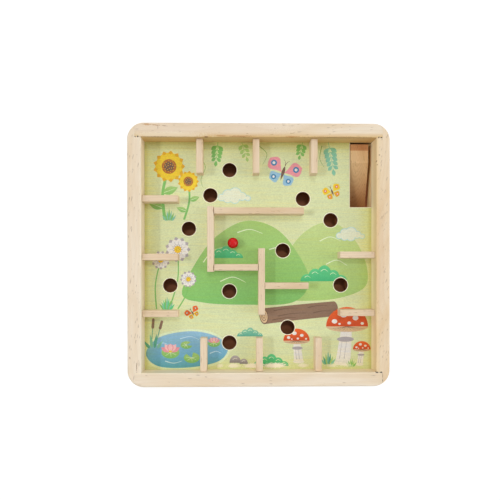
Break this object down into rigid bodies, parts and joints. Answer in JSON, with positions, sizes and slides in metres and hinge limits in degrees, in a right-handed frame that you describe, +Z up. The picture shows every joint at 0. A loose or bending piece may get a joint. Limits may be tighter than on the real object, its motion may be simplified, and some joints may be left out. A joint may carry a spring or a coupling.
{
  "type": "tilt maze game",
  "caption": "Square wooden tilt maze: a railed tray with trap holes, glued maze walls and a loose ball, over a lower deck whose ramp brings a fallen ball back up.",
  "frame": {"origin": "centre of the underside, on the plane that the game stands on", "axes": "+Z up out of the tray, +Y to the back rail, where the ball return is, +X to the right"},
  "size_m": [0.239, 0.24, 0.038],
  "materials": {
    "rail_wood": "sanded pale solid wood under a thin matt varnish, fine dark pores along the grain",
    "wall_wood": "sanded pinkish cream solid wood, matt",
    "printed_plywood": "thin plywood with a flat printed picture in pale green, satin",
    "base_plywood": "plain sanded plywood",
    "ramp_wood": "sawn and sanded solid wood, matt",
    "red_lacquer": "wooden ball in glossy red lacquer",
    "brad_steel": "bright wire brad"
  },
  "bodies": {
    "game": {"left_rail": "rail_wood", "right_rail": "rail_wood", "back_rail": "rail_wood", "front_rail": "rail_wood", "play_board": "printed_plywood", "base_board": "base_plywood", "base_brads": "brad_steel", "return_ramp": "ramp_wood", "pen_side_wall": "wall_wood", "pen_back_wall": "wall_wood", "pen_front_wall": "wall_wood", "centre_wall": "wall_wood", "branch_wall": "wall_wood", "back_stub_1": "wall_wood", "back_stub_2": "wall_wood", "back_stub_3": "wall_wood", "left_stub_1": "wall_wood", "left_stub_2": "wall_wood", "left_stub_3": "wall_wood", "front_stub_1": "wall_wood", "front_stub_2": "wall_wood", "front_stub_3": "wall_wood", "right_stub_1": "wall_wood", "right_stub_2": "wall_wood"},
    "ball": {"ball": "red_lacquer"}
  },
  "joints": [
    {"name": "ball_roll", "type": "slide", "parent": "game", "child": "ball", "axis": [1, 0, 0], "range_m": [-0.012, 0.125]}
  ]
}
